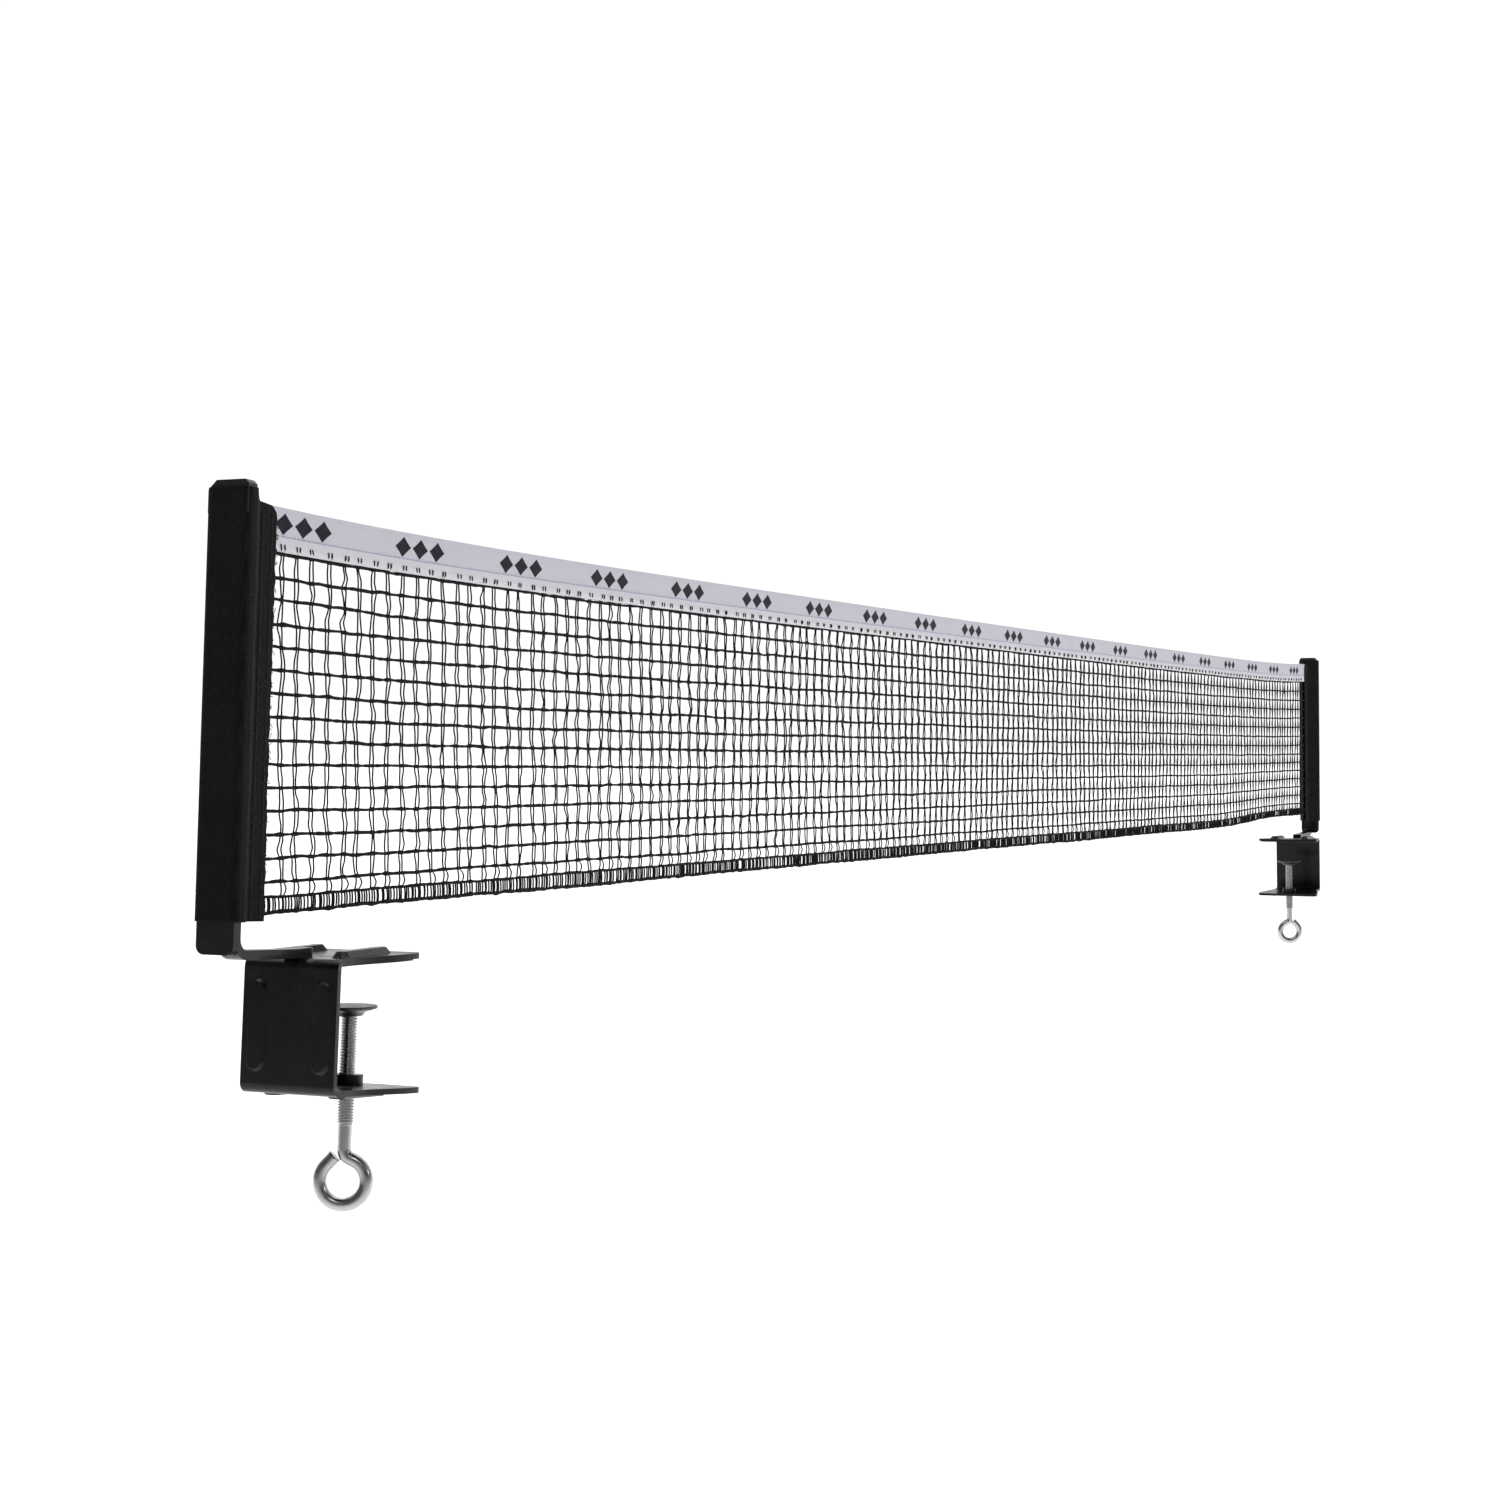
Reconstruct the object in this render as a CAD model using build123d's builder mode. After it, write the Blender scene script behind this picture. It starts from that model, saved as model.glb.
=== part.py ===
from build123d import *
import os
from math import atan2, cos, degrees, radians, sin, sqrt, tan

# A clamp-on table tennis net set: two screw clamps, two posts with fabric sleeves, and the net between them.
# Millimetres.  +X runs along the net from the left clamp to the right one, +Z is up.
# The origin is on the clamping face of the left upper jaw, where the left screw's axis meets the net's plane.

# ---- the table and the net
TABLE_WIDTH = 1525.0
TABLE_THICKNESS = 16.0
NET_HEIGHT = 152.5
NET_SAG = 4.6
TAPE_HEIGHT = 15.0
TAPE_THICKNESS = 1.4
MESH_THICKNESS = 1.0
NET_BOTTOM = 17.5
HEM_HEIGHT = 11.0

# ---- the pressed steel clamp bracket
SHEET = 2.0
PAD_THICKNESS = 0.6
PAD_INSET = 1.5
EDGE_GAP = 0.4
SCREW_TO_EDGE = 34.2
JAW_LIP = 7.0
WEB_LENGTH = 45.2
CLAMP_Y = -2.2
CLAMP_STRAIN = 3.8
WEB_HALF_WIDTH = 18.5
JAW_HALF_WIDTH = 24.6
JAW_CORNER = 4.0
NECK_LENGTH = 6.0
BEAD_LENGTH = 31.0
BEAD_WIDTH = 7.4
BEAD_HEIGHT = 1.1
TOP_BEAD_HEIGHT = 2.1
BEAD_SPACING = 25.5
BEAD_FLANK = 40.0
BEND_RADIUS = 3.5

# ---- the clamping screw and its pressure plate
THREAD_RADIUS = 2.95
COLLAR_BORE = 3.0
COLLAR_RADIUS = 5.6
COLLAR_HEIGHT = 3.5
THREAD_END_Z = -57.0
WIRE_RADIUS = 2.4
EYE_RADIUS = 8.0
EYE_Z = -76.2
EYE_BEND = 3.5
EYE_ARC = 308.0
EYE_TURN = -65.7
PLATE_RADIUS = 9.5
PLATE_EDGE = 1.0
PLATE_RIM = 2.2
PLATE_DEPTH = 3.5
PLATE_HUB_RADIUS = 4.4
PLATE_FACE = 0.9
TIP_GAP = 0.3

# ---- the arm and the post, which lean inboard together
LEAN = 2.8
ARM_WIDTH = 7.0
ARM_Y = -1.5
ARM_THICKNESS = 3.2
ARM_INBOARD = 10.0
ARM_LEG = 42.0
ARM_BEND = 3.8
ARM_CORNER = 2.5
POST_WIDTH = 14.5
POST_THICKNESS = 4.0
POST_OUT = 40.3
POST_FOOT = 1.7
POST_TOP = 150.4
POST_CORNER = 3.0
CAP_WALL = 0.55
CAP_TOP = 4.0
CAP_SKIRT = 7.0
CAP_CHAMFER = 3.0
CAP_NEAR_CHAMFER = 1.3
RIVET_RADIUS = 1.8
POST_RIVETS = (22.0, 34.0)

# ---- the fabric sleeve round each post
SLEEVE_GAP = 0.1
SLEEVE_WALL = 0.5
SLEEVE_LOW = 12.2
SLEEVE_TOP = 152.1
SLEEVE_SHOULDER = 35.2
SLEEVE_SEAM = 24.5
FLAP_TOP = 149.8
FLAP_END = 15.1
FLAP_THICKNESS = 2.4

WEB_IN = -(SCREW_TO_EDGE + EDGE_GAP)
WEB_OUT = WEB_IN - SHEET
JAW_TOP = PAD_THICKNESS + SHEET
STRAP_TOP = JAW_TOP + ARM_THICKNESS
LEG_OUT = POST_OUT - POST_THICKNESS
LEG_IN = LEG_OUT - ARM_THICKNESS
SPAN = TABLE_WIDTH - 2 * SCREW_TO_EDGE
MIDDLE = Axis((SPAN / 2, 0, 0), (0, 0, 1))

# The upper jaw lies flat.  The web, the lower jaw and the screw stand square to each other, but the clamping
# force springs them open from the upper jaw by the strain angle, so they have a plane of their own.
CLAMP_XY = Plane((0, CLAMP_Y, 0))
CLAMP_XZ = Plane((0, CLAMP_Y, 0), x_dir=(1, 0, 0), z_dir=(0, -1, 0))
SCREW_XY = CLAMP_XY.rotated((0, CLAMP_STRAIN, 0))

# The leaning planes of the arm and the post.
LEANED = Plane((WEB_OUT, 0, JAW_TOP)).rotated((0, LEAN, 0))
LEANED_XZ = Plane(LEANED.origin, x_dir=LEANED.x_dir, z_dir=(0, -1, 0))
POST_FACE = Plane(LEANED.origin, x_dir=(0, 1, 0), z_dir=LEANED.x_dir).offset(-POST_OUT)

os.makedirs("parts", exist_ok=True)


def save(piece, name):
    """Write one piece that the set has once."""
    piece.label = name
    export_step(piece, f"parts/{name}.step")


def save_pair(piece, name):
    """Write a piece of the left clamp, and the same piece turned half round for the right clamp."""
    save(piece, f"left_{name}")
    save(piece.rotate(MIDDLE, 180), f"right_{name}")


# ---- clamp bracket: a C of pressed sheet, flared at both jaws, with stiffening beads and a tapped collar
strain_cos = cos(radians(CLAMP_STRAIN))
strain_sin = sin(radians(CLAMP_STRAIN))


def web_point(along, up):
    """X and Z of a point given from the web's top corner, along the lower jaw and up the web."""
    return (
        WEB_OUT + along * strain_cos + up * strain_sin,
        JAW_TOP - along * strain_sin + up * strain_cos,
    )


def web_place(along, up):
    """The same point in space, in the clamp's middle plane."""
    x, z = web_point(along, up)
    return Vector(x, CLAMP_Y, z)


jaw_reach = JAW_LIP - WEB_OUT + WEB_LENGTH * strain_sin
web_in_at_pad = WEB_OUT + SHEET * (1 - strain_sin) / strain_cos
lower_jaw_top = SCREW_XY.to_local_coords(web_place(0, SHEET - WEB_LENGTH)).Z
beads = (
    (Plane(((WEB_IN + JAW_LIP) / 2, CLAMP_Y, JAW_TOP)), TOP_BEAD_HEIGHT),
    (Plane(web_place(jaw_reach / 2, -WEB_LENGTH), x_dir=SCREW_XY.x_dir, z_dir=-SCREW_XY.z_dir), BEAD_HEIGHT),
    (Plane(web_place(0, -WEB_LENGTH / 2), x_dir=SCREW_XY.z_dir, z_dir=-SCREW_XY.x_dir), BEAD_HEIGHT),
)
with BuildPart() as clamp_bracket:
    with BuildSketch(CLAMP_XZ):
        with BuildLine():
            outside = FilletPolyline(
                (JAW_LIP, JAW_TOP),
                (WEB_OUT, JAW_TOP),
                web_point(0, -WEB_LENGTH),
                web_point(jaw_reach, -WEB_LENGTH),
                radius=BEND_RADIUS,
            )
            inside = FilletPolyline(
                (JAW_LIP, PAD_THICKNESS),
                (web_in_at_pad, PAD_THICKNESS),
                web_point(SHEET, SHEET - WEB_LENGTH),
                web_point(jaw_reach, SHEET - WEB_LENGTH),
                radius=BEND_RADIUS - SHEET,
            )
            Line(outside @ 0, inside @ 0)
            Line(outside @ 1, inside @ 1)
        make_face()
    extrude(amount=JAW_HALF_WIDTH, both=True)
    # The outline seen from above: narrow at the web, flared along each jaw, with rounded front corners.
    with BuildSketch(CLAMP_XY.offset(-2 * WEB_LENGTH)):
        with BuildLine():
            Polyline(
                (WEB_OUT - WEB_LENGTH, 0),
                (WEB_OUT - WEB_LENGTH, WEB_HALF_WIDTH),
                (WEB_IN + NECK_LENGTH, WEB_HALF_WIDTH),
            )
            Spline(
                (WEB_IN + NECK_LENGTH, WEB_HALF_WIDTH),
                (JAW_LIP - JAW_CORNER, JAW_HALF_WIDTH),
                tangents=((1, 0), (1, 0)),
            )
            CenterArc((JAW_LIP - JAW_CORNER, JAW_HALF_WIDTH - JAW_CORNER), JAW_CORNER, 90, -90)
            Line((JAW_LIP, JAW_HALF_WIDTH - JAW_CORNER), (JAW_LIP, 0))
            mirror(about=Plane.XZ)
        make_face()
    extrude(amount=3 * WEB_LENGTH, mode=Mode.INTERSECT)
    # Beads along the upper jaw, along the lower jaw and down the web.
    for face_plane, bead_height in beads:
        with BuildSketch(face_plane):
            with GridLocations(0, BEAD_SPACING, 1, 2):
                SlotOverall(BEAD_LENGTH, BEAD_WIDTH)
        extrude(amount=bead_height, taper=BEAD_FLANK)
    # The tapped collar drawn up out of the lower jaw.
    with BuildSketch(SCREW_XY.offset(lower_jaw_top)):
        Circle(COLLAR_RADIUS)
    extrude(amount=COLLAR_HEIGHT)
    with BuildSketch(SCREW_XY.offset(lower_jaw_top - 2 * SHEET)):
        Circle(COLLAR_BORE)
    extrude(amount=COLLAR_HEIGHT + 2 * SHEET, mode=Mode.SUBTRACT)
save_pair(clamp_bracket.part, "clamp_bracket")

# ---- jaw pad: a thin protective sheet glued under the upper jaw
pad_back = WEB_IN + BEND_RADIUS
pad_front = JAW_LIP - PAD_INSET
with BuildPart() as jaw_pad:
    with BuildSketch(CLAMP_XY):
        with BuildLine():
            Line((pad_back, 0), (pad_back, WEB_HALF_WIDTH - PAD_INSET))
            Spline(
                (pad_back, WEB_HALF_WIDTH - PAD_INSET),
                (pad_front - JAW_CORNER, JAW_HALF_WIDTH - PAD_INSET),
                tangents=((1, 0), (1, 0)),
            )
            CenterArc((pad_front - JAW_CORNER, JAW_HALF_WIDTH - PAD_INSET - JAW_CORNER), JAW_CORNER, 90, -90)
            Line((pad_front, JAW_HALF_WIDTH - PAD_INSET - JAW_CORNER), (pad_front, 0))
            mirror(about=Plane.XZ)
        make_face()
    extrude(amount=PAD_THICKNESS)
save_pair(jaw_pad.part, "jaw_pad")

# ---- pressure plate: a dished disc with a hub that turns on the screw's tip
plate_top = -TABLE_THICKNESS
plate_x = plate_top * tan(radians(CLAMP_STRAIN))
bore_end = plate_top - PLATE_FACE
with BuildPart() as pressure_plate:
    with BuildSketch(CLAMP_XZ.shift_origin((plate_x, CLAMP_Y, 0))):
        with BuildLine():
            Polyline(
                (0, plate_top),
                (PLATE_RADIUS, plate_top),
                (PLATE_RADIUS, plate_top - PLATE_EDGE),
                (PLATE_HUB_RADIUS + PLATE_EDGE, plate_top - PLATE_RIM),
                (PLATE_HUB_RADIUS, plate_top - PLATE_DEPTH),
                (0, plate_top - PLATE_DEPTH),
                close=True,
            )
        make_face()
    revolve(axis=Axis((plate_x, CLAMP_Y, 0), (0, 0, 1)))
    rim = pressure_plate.edges().filter_by(GeomType.CIRCLE).group_by(SortBy.RADIUS)[-1]
    fillet(rim, PLATE_EDGE / 3)
    with BuildSketch(SCREW_XY.offset(bore_end)):
        Circle(COLLAR_BORE)
    extrude(amount=-2 * PLATE_DEPTH, mode=Mode.SUBTRACT)
save_pair(pressure_plate.part, "pressure_plate")

# ---- eye bolt: a threaded rod whose plain end is bent round into the eye that turns it
eye_cos = cos(radians(EYE_TURN))
eye_sin = sin(radians(EYE_TURN))
eye_front = Plane(
    SCREW_XY.origin,
    x_dir=SCREW_XY.x_dir * eye_cos + SCREW_XY.y_dir * eye_sin,
    z_dir=SCREW_XY.x_dir * eye_sin - SCREW_XY.y_dir * eye_cos,
)
bend_z = EYE_Z + sqrt(EYE_RADIUS**2 + 2 * EYE_BEND * EYE_RADIUS)
bend_angle = degrees(atan2(bend_z - EYE_Z, EYE_BEND))
with BuildPart() as eye_bolt:
    with BuildSketch(SCREW_XY.offset(THREAD_END_Z)):
        Circle(THREAD_RADIUS)
    extrude(amount=bore_end - TIP_GAP - THREAD_END_Z)
    with BuildLine(eye_front) as wire_path:
        Line((0, THREAD_END_Z), (0, bend_z))
        CenterArc((EYE_BEND, bend_z), EYE_BEND, 180, bend_angle)
        CenterArc((0, EYE_Z), EYE_RADIUS, bend_angle, -EYE_ARC)
    with BuildSketch(SCREW_XY.offset(THREAD_END_Z)):
        Circle(WIRE_RADIUS)
    sweep(path=wire_path.wires()[0])
save_pair(eye_bolt.part, "eye_bolt")

# ---- arm: a strap welded on the upper jaw, bent slightly at the web and turned up behind the post
with BuildPart() as arm:
    with BuildSketch(Plane.XZ.offset(-ARM_Y)):
        with BuildLine():
            Polyline(
                (WEB_OUT + ARM_INBOARD, JAW_TOP),
                (WEB_OUT, JAW_TOP),
                (WEB_OUT + ARM_THICKNESS * sin(radians(LEAN)), STRAP_TOP),
                (WEB_OUT + ARM_INBOARD, STRAP_TOP),
                close=True,
            )
        make_face()
    extrude(amount=ARM_WIDTH / 2, both=True)
    jaw_end = arm.edges().filter_by(Axis.Z).group_by(Axis.X)[-1]
    fillet(jaw_end, ARM_CORNER)
    with BuildSketch(LEANED_XZ.offset(-ARM_Y)):
        with BuildLine():
            underside = FilletPolyline(
                (0, 0), (-LEG_OUT, 0), (-LEG_OUT, ARM_LEG), radius=ARM_BEND + ARM_THICKNESS
            )
            topside = FilletPolyline(
                (0, ARM_THICKNESS), (-LEG_IN, ARM_THICKNESS), (-LEG_IN, ARM_LEG), radius=ARM_BEND
            )
            Line(underside @ 0, topside @ 0)
            Line(underside @ 1, topside @ 1)
        make_face()
    extrude(amount=ARM_WIDTH / 2, both=True)
    with BuildSketch(POST_FACE.offset(POST_THICKNESS)):
        with Locations(*[(ARM_Y, z) for z in POST_RIVETS]):
            Circle(RIVET_RADIUS)
    extrude(amount=ARM_THICKNESS, mode=Mode.SUBTRACT)
save_pair(arm.part, "arm")

# ---- post: a flat steel bar with rounded lower corners
with BuildPart() as post:
    with BuildSketch(POST_FACE):
        with Locations((0, (POST_FOOT + POST_TOP) / 2)):
            Rectangle(POST_WIDTH, POST_TOP - POST_FOOT)
        with Locations(*[(ARM_Y, z) for z in POST_RIVETS]):
            Circle(RIVET_RADIUS, mode=Mode.SUBTRACT)
    extrude(amount=POST_THICKNESS)
    foot_corners = post.edges().filter_by(Axis(LEANED.origin, LEANED.x_dir)).group_by(Axis.Z)[0]
    fillet(foot_corners, POST_CORNER)
save_pair(post.part, "post")

# ---- post rivets: flush both sides, so that the sleeve slides over them
with BuildPart() as post_rivets:
    with BuildSketch(POST_FACE):
        with Locations(*[(ARM_Y, z) for z in POST_RIVETS]):
            Circle(RIVET_RADIUS)
    extrude(amount=POST_THICKNESS + ARM_THICKNESS)
save_pair(post_rivets.part, "post_rivets")

# ---- post cap: a moulded cap pressed over the top of the post
post_middle = -(POST_OUT + LEG_OUT) / 2
with BuildPart() as post_cap:
    with BuildSketch(LEANED.offset(POST_TOP - CAP_SKIRT)):
        with Locations((post_middle, 0)):
            Rectangle(POST_THICKNESS + 2 * CAP_WALL, POST_WIDTH + 2 * CAP_WALL)
    extrude(amount=CAP_SKIRT + CAP_TOP)
    top_corners = post_cap.edges().filter_by(Axis(LEANED.origin, LEANED.x_dir)).group_by(Axis.Z)[-1]
    near_corner, far_corner = top_corners.sort_by(Axis.Y)
    chamfer(near_corner, CAP_NEAR_CHAMFER)
    chamfer(far_corner, CAP_CHAMFER)
    with BuildSketch(LEANED.offset(POST_TOP - CAP_SKIRT)):
        with Locations((post_middle, 0)):
            Rectangle(POST_THICKNESS, POST_WIDTH)
    extrude(amount=CAP_SKIRT, mode=Mode.SUBTRACT)
save_pair(post_cap.part, "post_cap")

# ---- net sleeve: woven fabric round the post and the arm's leg, narrowing to a seam and a flap
pocket_out = POST_OUT + CAP_WALL + SLEEVE_GAP
pocket_in = LEG_OUT - CAP_WALL - SLEEVE_GAP
pocket_half = POST_WIDTH / 2 + CAP_WALL + SLEEVE_GAP
leg_pocket_in = LEG_IN - SLEEVE_GAP
leg_pocket_width = ARM_WIDTH + 2 * SLEEVE_GAP
sleeve_half = pocket_half + SLEEVE_WALL
with BuildPart() as net_sleeve:
    with BuildSketch(LEANED.offset(SLEEVE_LOW)):
        with BuildLine():
            Polyline(
                (-pocket_out - SLEEVE_WALL, 0),
                (-pocket_out - SLEEVE_WALL, sleeve_half),
                (-SLEEVE_SHOULDER, sleeve_half),
                (-SLEEVE_SEAM, FLAP_THICKNESS / 2),
                (-FLAP_END, FLAP_THICKNESS / 2),
                (-FLAP_END, 0),
            )
            mirror(about=Plane.XZ)
        make_face()
        with Locations((-(pocket_out + pocket_in) / 2, 0)):
            Rectangle(pocket_out - pocket_in, 2 * pocket_half, mode=Mode.SUBTRACT)
        with Locations((-(pocket_out + leg_pocket_in) / 2, ARM_Y)):
            Rectangle(pocket_out - leg_pocket_in, leg_pocket_width, mode=Mode.SUBTRACT)
    extrude(amount=SLEEVE_TOP - SLEEVE_LOW)
    # The flap's top is lower than the pocket's.
    with BuildSketch(LEANED.offset(FLAP_TOP)):
        with Locations((-(SLEEVE_SEAM + FLAP_END) / 2, 0)):
            Rectangle(SLEEVE_SEAM - FLAP_END, 2 * FLAP_THICKNESS)
    extrude(amount=SLEEVE_TOP - FLAP_TOP, mode=Mode.SUBTRACT)
save_pair(net_sleeve.part, "net_sleeve")


# ---- the net: top tape, mesh and bottom hem, each hung between the two flaps
def net_end(z):
    """How far along X the left flap ends at a height."""
    return WEB_OUT - FLAP_END / cos(radians(LEAN)) + (z - JAW_TOP) * tan(radians(LEAN))


def edge_points(z):
    """Points along a sagging edge of the net whose ends are at this height."""
    left = net_end(z)
    right = SPAN - left
    sag = NET_SAG * (z - NET_BOTTOM) / (NET_HEIGHT - NET_BOTTOM)
    early = left + (right - left) * 0.06
    later = left + (right - left) * 0.22
    return [
        (left, z),
        (early, z - 0.5 * sag),
        (later, z - 0.87 * sag),
        (SPAN / 2, z - sag),
        (SPAN - later, z - 0.87 * sag),
        (SPAN - early, z - 0.5 * sag),
        (right, z),
    ]


tape_bottom = NET_HEIGHT - TAPE_HEIGHT
hem_top = NET_BOTTOM + HEM_HEIGHT
net_bands = (
    ("net_tape", tape_bottom, NET_HEIGHT, TAPE_THICKNESS),
    ("net_mesh", hem_top, tape_bottom, MESH_THICKNESS),
    ("net_hem", NET_BOTTOM, hem_top, MESH_THICKNESS),
)
for name, low, high, thickness in net_bands:
    with BuildPart() as net_band:
        with BuildSketch(Plane.XZ):
            with BuildLine():
                low_points = edge_points(low)
                high_points = edge_points(high)
                Spline(*low_points)
                Line(low_points[-1], high_points[-1])
                Spline(*high_points)
                Line(high_points[0], low_points[0])
            make_face()
        extrude(amount=thickness / 2, both=True)
    save(net_band.part, name)
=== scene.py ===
import math

import bpy
import numpy as np
from mathutils import Matrix, Vector


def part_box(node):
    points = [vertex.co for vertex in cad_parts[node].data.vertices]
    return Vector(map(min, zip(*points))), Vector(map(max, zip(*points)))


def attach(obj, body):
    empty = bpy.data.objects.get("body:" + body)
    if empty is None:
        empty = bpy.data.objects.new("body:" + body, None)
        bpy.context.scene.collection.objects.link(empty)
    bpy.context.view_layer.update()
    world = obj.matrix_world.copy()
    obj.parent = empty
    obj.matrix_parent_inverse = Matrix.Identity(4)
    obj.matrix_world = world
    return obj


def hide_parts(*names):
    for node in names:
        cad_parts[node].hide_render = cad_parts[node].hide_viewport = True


# The looks of a clamp-on table tennis net set.  Metres, in the frame of the CAD part: +X from the left clamp
# to the right one, +Z up, the origin on the clamping face of the left upper jaw.
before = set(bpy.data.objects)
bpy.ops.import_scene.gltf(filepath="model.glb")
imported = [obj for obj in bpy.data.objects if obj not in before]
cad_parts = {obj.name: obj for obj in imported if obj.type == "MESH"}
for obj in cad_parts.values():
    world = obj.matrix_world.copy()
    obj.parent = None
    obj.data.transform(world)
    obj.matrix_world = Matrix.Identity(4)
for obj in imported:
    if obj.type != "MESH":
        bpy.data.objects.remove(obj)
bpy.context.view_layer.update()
MM = 0.001
rng = np.random.default_rng(7)

# ---- places taken from the CAD part
tape_low, tape_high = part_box("net_tape")
hem_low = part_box("net_hem")[0]
pad_low, pad_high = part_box("left_jaw_pad")
SPAN = tape_low.x + tape_high.x
CLAMP_Y = (pad_low.y + pad_high.y) / 2
NET_HEIGHT = tape_high.z
NET_BOTTOM = hem_low.z

# ---- sizes that the looks share with the CAD part
LEAN = math.radians(2.8)
STRAIN = math.radians(3.8)
WEB_OUT = -36.6 * MM
JAW_TOP = 2.6 * MM
FLAP_END = 15.1 * MM
SAG = 4.6 * MM
TAPE_HEIGHT = 15.0 * MM
TAPE_HALF = 0.7 * MM
TAPE_SKIN = 0.25 * MM
ROW_PITCH = 7.75 * MM
ROW_RADIUS = 0.60 * MM
COLUMN_PITCH = 9.5 * MM
STRAND_RADIUS = 0.33 * MM
STRAND_APART = 0.92 * MM
LOOP_PITCH = 1.6 * MM
LOOP_RADIUS = 0.36 * MM


# ---- materials
class Nodes:
    """Small helpers to wire one material."""

    def __init__(self, name, color, roughness, metallic=0.0):
        self.material = bpy.data.materials.new(name)
        self.material.use_nodes = True
        self.tree = self.material.node_tree
        self.shader = self.tree.nodes["Principled BSDF"]
        self.shader.inputs["Base Color"].default_value = (*color, 1)
        self.shader.inputs["Roughness"].default_value = roughness
        self.shader.inputs["Metallic"].default_value = metallic
        self.place = self.tree.nodes.new("ShaderNodeTexCoord").outputs["Object"]

    def wire(self, value, socket):
        """Link a node's output to a socket, or set a plain number on it."""
        if isinstance(value, bpy.types.NodeSocket):
            self.tree.links.new(value, socket)
        else:
            socket.default_value = value

    def math(self, operation, a, b=0.0):
        """One math node."""
        node = self.tree.nodes.new("ShaderNodeMath")
        node.operation = operation
        self.wire(a, node.inputs[0])
        self.wire(b, node.inputs[1])
        return node.outputs[0]

    def noise(self, scale, detail=3.0, stretch=(1, 1, 1)):
        """Noise over the piece, optionally drawn out along an axis."""
        mapping = self.tree.nodes.new("ShaderNodeMapping")
        mapping.inputs["Scale"].default_value = stretch
        self.tree.links.new(self.place, mapping.inputs["Vector"])
        node = self.tree.nodes.new("ShaderNodeTexNoise")
        node.inputs["Scale"].default_value = scale
        node.inputs["Detail"].default_value = detail
        self.tree.links.new(mapping.outputs["Vector"], node.inputs["Vector"])
        return node.outputs["Fac"]

    def span(self, value, low, high, start=0.3, end=0.7):
        """Stretch a 0 to 1 value between two levels."""
        node = self.tree.nodes.new("ShaderNodeMapRange")
        node.inputs["From Min"].default_value = start
        node.inputs["From Max"].default_value = end
        node.inputs["To Min"].default_value = low
        node.inputs["To Max"].default_value = high
        self.tree.links.new(value, node.inputs["Value"])
        return node.outputs["Result"]

    def colors(self, value, first, second):
        """Blend two colours into the base colour."""
        node = self.tree.nodes.new("ShaderNodeMix")
        node.data_type = "RGBA"
        node.inputs["A"].default_value = (*first, 1)
        node.inputs["B"].default_value = (*second, 1)
        self.tree.links.new(value, node.inputs["Factor"])
        self.tree.links.new(node.outputs["Result"], self.shader.inputs["Base Color"])

    def bumps(self, height, distance, strength=1.0):
        """Raise the surface by a height."""
        node = self.tree.nodes.new("ShaderNodeBump")
        node.inputs["Strength"].default_value = strength
        node.inputs["Distance"].default_value = distance
        self.tree.links.new(height, node.inputs["Height"])
        self.tree.links.new(node.outputs["Normal"], self.shader.inputs["Normal"])

    def weave(self, pitch):
        """A diagonal woven pattern that shows on faces of every direction."""
        split = self.tree.nodes.new("ShaderNodeSeparateXYZ")
        self.tree.links.new(self.place, split.inputs[0])
        across = self.math("ADD", split.outputs["X"], split.outputs["Y"])
        waves = []
        for direction in ("ADD", "SUBTRACT"):
            slanted = self.math(direction, across, split.outputs["Z"])
            waves.append(self.math("SINE", self.math("MULTIPLY", slanted, 2 * math.pi / pitch)))
        return self.math("ADD", self.math("MULTIPLY", self.math("MULTIPLY", *waves), 0.5), 0.5)


def paint(name, color, lighter, roughness):
    """Glossy sprayed paint with orange peel, dust and faint scratches."""
    n = Nodes(name, color, roughness)
    n.shader.inputs["Coat Weight"].default_value = 0.06
    n.shader.inputs["Specular IOR Level"].default_value = 0.26
    n.shader.inputs["Coat Roughness"].default_value = 0.12
    dust = n.span(n.noise(260, 6), 0.0, 1.0, 0.45, 0.75)
    n.colors(dust, color, lighter)
    handled = n.span(n.noise(90, 5), -0.07, 0.1)
    scratches = n.span(n.noise(700, 2, (1, 1, 0.06)), 0.0, 0.06, 0.5, 0.7)
    worn = n.math("ADD", handled, scratches)
    n.wire(n.math("ADD", worn, roughness), n.shader.inputs["Roughness"])
    peel = n.math("ADD", n.noise(900, 2), n.math("MULTIPLY", n.noise(120, 3), 0.7))
    n.bumps(peel, 0.00006, 0.5)
    return n.material


def metal(name, color, tint, roughness):
    """Bright plated steel with cloudy passivation and drawing marks."""
    n = Nodes(name, color, roughness, 1.0)
    n.colors(n.span(n.noise(170, 5), 0.0, 1.0), color, tint)
    n.wire(n.math("ADD", n.span(n.noise(420, 4), -0.06, 0.12), roughness), n.shader.inputs["Roughness"])
    n.bumps(n.math("ADD", n.noise(1500, 3), n.noise(350, 3, (1, 1, 0.2))), 0.000012, 0.4)
    return n.material


def moulded(name, color, lighter, roughness, grain):
    """Plastic or rubber with a moulded grain."""
    n = Nodes(name, color, roughness)
    n.colors(n.span(n.noise(150, 5), 0.0, 1.0), color, lighter)
    n.wire(n.math("ADD", n.span(n.noise(300, 4), -0.06, 0.1), roughness), n.shader.inputs["Roughness"])
    n.bumps(n.noise(grain, 3), 0.00008, 0.6)
    return n.material


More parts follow.
